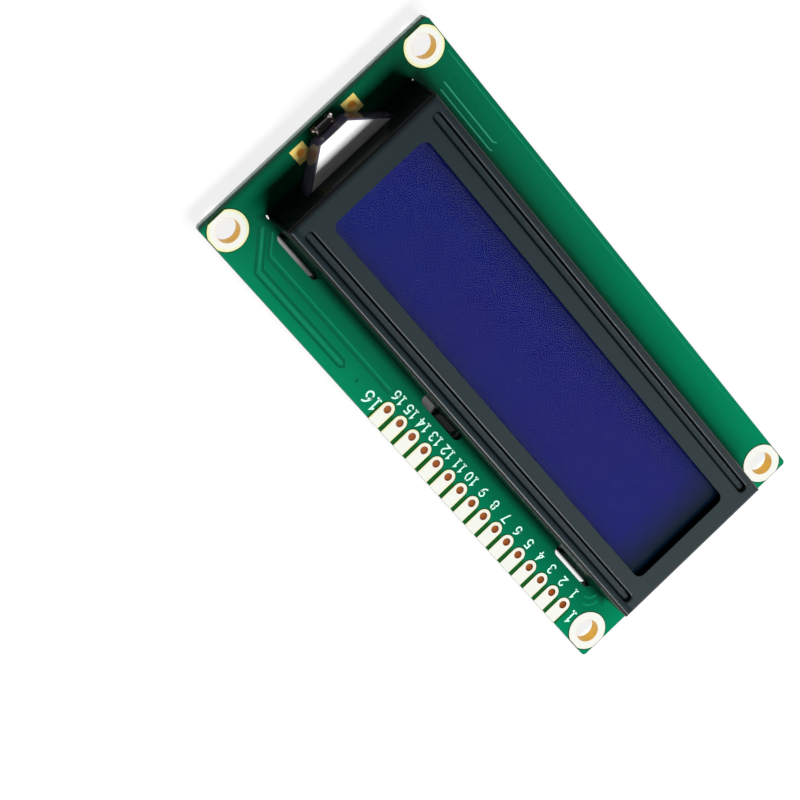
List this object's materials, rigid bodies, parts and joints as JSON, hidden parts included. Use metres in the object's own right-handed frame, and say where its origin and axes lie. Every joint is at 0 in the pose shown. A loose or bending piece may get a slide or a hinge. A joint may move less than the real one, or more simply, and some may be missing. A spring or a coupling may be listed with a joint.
{
  "type": "character lcd module",
  "caption": "Flat character display: a blue glass cell with a side-lit backlight under a black folded metal bezel, on a green circuit board with a row of plated pin holes.",
  "frame": {"origin": "centre of the rectangle of mounting holes, on the rear face of the circuit board", "axes": "+X along the pin row, from pin 1 towards the last pin; +Y towards the edge with the pin row; +Z out of the display's face"},
  "size_m": [0.08, 0.036, 0.0103],
  "materials": {
    "green_board": "green solder resist over glass-fibre laminate, semi-gloss",
    "tinned_copper": "hot-tinned copper, bright, slightly cream",
    "gold_plating": "thin gold over copper",
    "black_painted_steel": "satin black paint on thin steel sheet",
    "display_glass": "polished display glass",
    "rear_glass": "polished display glass",
    "seal_resin": "cured seal resin",
    "blue_polarising_film": "glossy deep blue film",
    "rear_polarising_film": "grey film",
    "contact_elastomer": "soft silicone with conducting layers",
    "clear_acrylic": "polished clear acrylic",
    "diffuser_film": "milky white film",
    "white_film": "white reflecting film",
    "lamp_resin": "dark amber resin",
    "lamp_tin": "tinned ends with solder",
    "black_resin": "hard black resin drop",
    "resistor_glaze": "black glaze on ceramic",
    "capacitor_ceramic": "tan ceramic",
    "chip_tin": "tinned ends with solder"
  },
  "bodies": {
    "root": {"board": "green_board", "mounting_lands": "tinned_copper", "pin_lands": "tinned_copper", "backlight_lands": "gold_plating", "contact_fingers": "gold_plating", "lamp_lands": "gold_plating", "bezel": "black_painted_steel", "upper_glass": "display_glass", "lower_glass": "rear_glass", "edge_seal": "seal_resin", "front_polariser": "blue_polarising_film", "rear_polariser": "rear_polarising_film", "pin_side_contact_strip": "contact_elastomer", "far_side_contact_strip": "contact_elastomer", "light_guide": "clear_acrylic", "diffuser": "diffuser_film", "reflector": "white_film", "tongue_film": "white_film", "lamp_body": "lamp_resin", "lamp_ends": "lamp_tin", "controller_drop": "black_resin", "driver_drop": "black_resin", "resistor_bodies": "resistor_glaze", "resistor_ends": "chip_tin", "capacitor_bodies": "capacitor_ceramic", "capacitor_ends": "chip_tin"}
  },
  "joints": []
}
